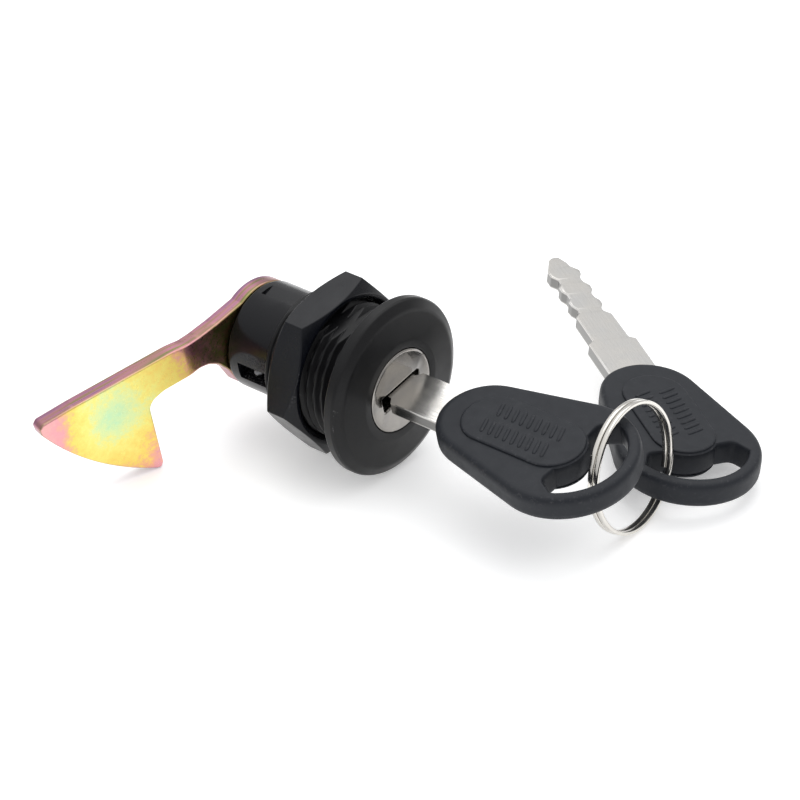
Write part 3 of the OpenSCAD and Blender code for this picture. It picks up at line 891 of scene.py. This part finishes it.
# %% Split ring
def ring_tree(inputs):
    tree, given = open_tree("split ring", inputs)
    line = node(tree, "GeometryNodeCurvePrimitiveLine", {"End": (1, 0, 0)}).outputs[0]
    path = node(tree, "GeometryNodeResampleCurve", {"Curve": line, "Count": 400}).outputs[0]
    factor = node(tree, "GeometryNodeSplineParameter").outputs["Factor"]
    # in turns of the wire: the middle of the step lies between the two ends, and fills their gap
    gap = 0.035
    turns = node(tree, "ShaderNodeMapRange", {"Value": factor, "To Min": gap,
                                              "To Max": 2 - gap}).outputs[0]
    angle = calc(tree, "ADD", calc(tree, "MULTIPLY", turns, 2 * pi), given["Start turn"])
    step = node(tree, "ShaderNodeMapRange", {"Value": turns, "From Min": 1 - gap, "From Max": 1 + gap,
                                             "To Min": -0.5, "To Max": 0.5},
                interpolation_type="SMOOTHSTEP").outputs[0]
    point = node(tree, "ShaderNodeCombineXYZ", {
        0: calc(tree, "MULTIPLY", given["Radius"], calc(tree, "COSINE", angle)),
        1: calc(tree, "MULTIPLY", given["Radius"], calc(tree, "SINE", angle)),
        2: calc(tree, "MULTIPLY", step, given["Turn spacing"])}).outputs[0]
    path = node(tree, "GeometryNodeSetPosition", {"Geometry": path, "Position": point}).outputs[0]
    path = node(tree, "GeometryNodeSetCurveNormal", {"Curve": path}, mode="Z_UP").outputs[0]
    section = node(tree, "GeometryNodeCurvePrimitiveQuadrilateral", {"Width": given["Wire thickness"],
                                                                     "Height": given["Wire width"]})
    section = node(tree, "GeometryNodeFilletCurve", {"Curve": section.outputs[0], "Radius": 0.22 * MM,
                                                     "Count": 4}, mode="POLY").outputs[0]
    wire = node(tree, "GeometryNodeCurveToMesh", {"Curve": path, "Profile Curve": section,
                                                  "Fill Caps": True}).outputs[0]
    return close_tree(tree, wire, given["Material"])


ring = grow("split_ring_wire", ring_tree, {
    "Radius": 10.1 * MM, "Turn spacing": 0.98 * MM, "Wire width": 0.84 * MM, "Wire thickness": 0.7 * MM,
    "Start turn": radians(40), "Material": ring_nickel}, sharp=50)
ring.data.transform(Matrix.Translation(Vector((9.8, -40.4, -4.4)) * MM)
                    @ Matrix.Rotation(radians(4.34), 4, "Z") @ Matrix.Rotation(radians(-7.35), 4, "X")
                    @ Matrix.Rotation(radians(-90), 4, "X"))
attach(ring, "ring")
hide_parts("split_ring")

# %% [markdown]
# ## Finishes onto the pieces
# The new pieces and the imported solids that stay in view, such as the plug behind its cap, each get
# their finish here. The stop pin is painted a darker steel than the bolt, a painted shade for the
# recess of its window.

# %% Finishes
for piece, look in ((flange, black_enamel), (rear_barrel, barrel_enamel), (nut, nut_enamel),
                    (plug_face, shaded_cap_nickel), (hook, yellow_zinc), (washer, steel), (bolt_head, steel),
                    (bolt_shank, steel)):
    piece.data.materials.clear()
    piece.data.materials.append(look)
looks = {"nickel": plug_nickel, "nickel_satin": shaded_cap_nickel, "steel": steel, "wafer_brass": wafer_brass,
         "black_lacquer": black_enamel, "nut_black": nut_enamel, "yellow_zinc": yellow_zinc,
         "key_nickel": key_nickel, "key_plastic": key_plastic, "ring_nickel": ring_nickel}
for part in frame["record"]["subparts"]:
    cad = frame["nodes"][part["node"]].data
    cad.materials.clear()
    cad.materials.append(looks[part["material_slot"]])
# painted shade: the stop pin sits in its window's recess, so its steel is painted dark
stop = frame["nodes"]["stop_pin"].data
stop.materials.clear()
stop.materials.append(pin_steel_painted_shade)
print("finishes on", len(frame["nodes"]), "packed nodes")

# %% [markdown]
# ## Floor and light
# The lock lies on a white table that is lit a little from below, as product tables are, so its shadows
# stay pale. The world stands for a light tent: it is dim near the horizon, which keeps the black parts
# dark, and brightest overhead. One broad lamp from the upper right gives the shadows their direction.

# %% Floor and light
TABLE_GLOW, SKY_LOW, SKY_HIGH = 0.32, 0.45, 1.2
floor_z = cad_box[0][2]
bm = bmesh.new()
bmesh.ops.create_grid(bm, x_segments=1, y_segments=1, size=3)
bm.transform(Matrix.Translation((0, 0, floor_z)))
floor = as_object("floor", bm)
white, tree, bsdf, where = finish("white_table", (0.93, 0.93, 0.93), 0.0, 0.6)
bsdf.inputs["Emission Color"].default_value = (1, 1, 1, 1)
bsdf.inputs["Emission Strength"].default_value = TABLE_GLOW
floor.data.materials.append(white)


def lamp(name, size, power, place, aim=(0, 0, 0)):
    light = bpy.data.lights.new(name, "AREA")
    light.size = size
    light.energy = power
    ob = bpy.data.objects.new(name, light)
    bpy.context.scene.collection.objects.link(ob)
    ob.location = place
    ob.rotation_euler = (Vector(place) - Vector(aim)).to_track_quat("Z", "Y").to_euler()


lamp("top_softbox", 0.9, 2.8, (0.3, 0.1, 0.8))
world = bpy.data.worlds.new("tent")
bpy.context.scene.world = world
world.use_nodes = True
sky = world.node_tree
direction = node(sky, "ShaderNodeTexCoord").outputs["Generated"]
upward = node(sky, "ShaderNodeSeparateXYZ", {0: direction}).outputs[2]
glow = node(sky, "ShaderNodeMapRange", {"Value": upward, "From Min": 0.0, "From Max": 1.0,
                                        "To Min": SKY_LOW, "To Max": SKY_HIGH}).outputs[0]
sky.links.new(glow, sky.nodes["Background"].inputs["Strength"])
sky.nodes["Background"].inputs["Color"].default_value = (0.985, 0.99, 1.0, 1)
bpy.context.scene.view_settings.view_transform = "Standard"
